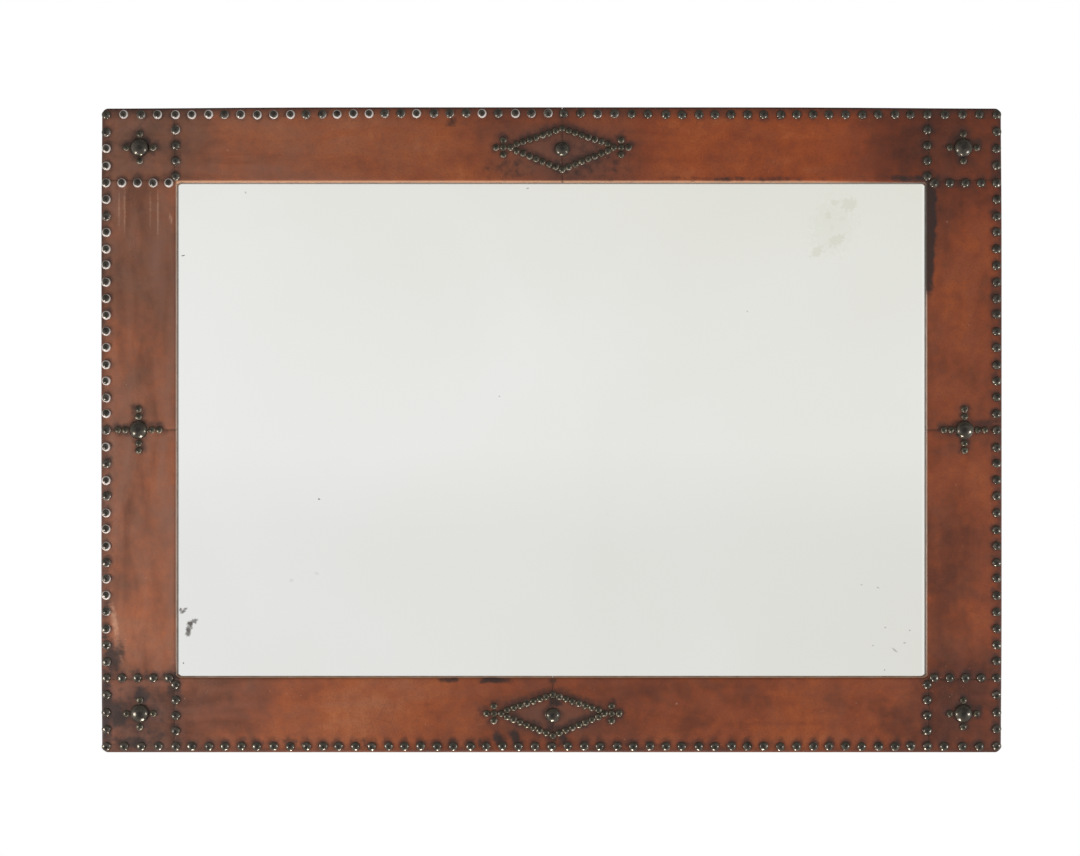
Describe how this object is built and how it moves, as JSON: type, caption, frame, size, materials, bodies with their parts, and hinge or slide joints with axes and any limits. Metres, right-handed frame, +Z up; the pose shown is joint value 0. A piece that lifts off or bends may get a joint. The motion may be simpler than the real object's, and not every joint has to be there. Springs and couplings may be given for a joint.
{
  "type": "overmantel mirror",
  "caption": "Wide rectangular wall mirror in a flat hide-covered frame studded with domed nails in borders, crosses and diamonds, with swinging hanging rings behind.",
  "frame": {"origin": "middle of the bottom edge, half way through the frame's depth, on the outside of the hide", "axes": "+X to the viewer's right along the width, -Y towards the viewer, +Y into the wall, +Z up"},
  "size_m": [1.1, 0.045, 0.788],
  "materials": {
    "aged_hide": "old red-brown hide, rubbed and stained",
    "softwood": "bare, darkened with age",
    "peg_wood": "bare hardwood end grain",
    "back_pine": "bare, sawn",
    "nail_metal": "dark patina, rubbed bright at the rims",
    "mirror": "old silvering, lightly foxed",
    "hanger_brass": "dull",
    "screw_steel": "dull",
    "tack_iron": "blued, slightly rusty"
  },
  "bodies": {
    "frame": {"top_left_rail_hide": "aged_hide", "top_right_rail_hide": "aged_hide", "bottom_left_rail_hide": "aged_hide", "bottom_right_rail_hide": "aged_hide", "left_upper_stile_hide": "aged_hide", "left_lower_stile_hide": "aged_hide", "right_upper_stile_hide": "aged_hide", "right_lower_stile_hide": "aged_hide", "top_left_corner_hide": "aged_hide", "top_right_corner_hide": "aged_hide", "bottom_left_corner_hide": "aged_hide", "bottom_right_corner_hide": "aged_hide", "top_rail": "softwood", "bottom_rail": "softwood", "left_stile": "softwood", "right_stile": "softwood", "corner_pegs": "peg_wood", "back_board_1": "back_pine", "back_board_2": "back_pine", "back_board_3": "back_pine", "back_board_4": "back_pine", "top_border_nails": "nail_metal", "bottom_border_nails": "nail_metal", "left_border_nails": "nail_metal", "right_border_nails": "nail_metal", "top_left_seam_nails": "nail_metal", "top_right_seam_nails": "nail_metal", "bottom_left_seam_nails": "nail_metal", "bottom_right_seam_nails": "nail_metal", "corner_bosses": "nail_metal", "stile_bosses": "nail_metal", "diamond_bosses": "nail_metal", "corner_cluster_nails": "nail_metal", "stile_cross_nails": "nail_metal", "top_diamond_nails": "nail_metal", "bottom_diamond_nails": "nail_metal", "mirror_plate": "mirror", "left_hanger_plate": "hanger_brass", "right_hanger_plate": "hanger_brass", "hanger_screws": "screw_steel", "turnover_tacks": "tack_iron", "board_brads": "tack_iron"},
    "left_ring": {"left_hanger_ring": "hanger_brass"},
    "right_ring": {"right_hanger_ring": "hanger_brass"}
  },
  "joints": [
    {"name": "left_ring_swing", "type": "hinge", "parent": "frame", "child": "left_ring", "pos_m": [-0.49975, 0.0182, 0.598], "axis": [1, 0, 0], "range_deg": [0, 180]},
    {"name": "right_ring_swing", "type": "hinge", "parent": "frame", "child": "right_ring", "pos_m": [0.49975, 0.0182, 0.598], "axis": [1, 0, 0], "range_deg": [0, 180]}
  ]
}
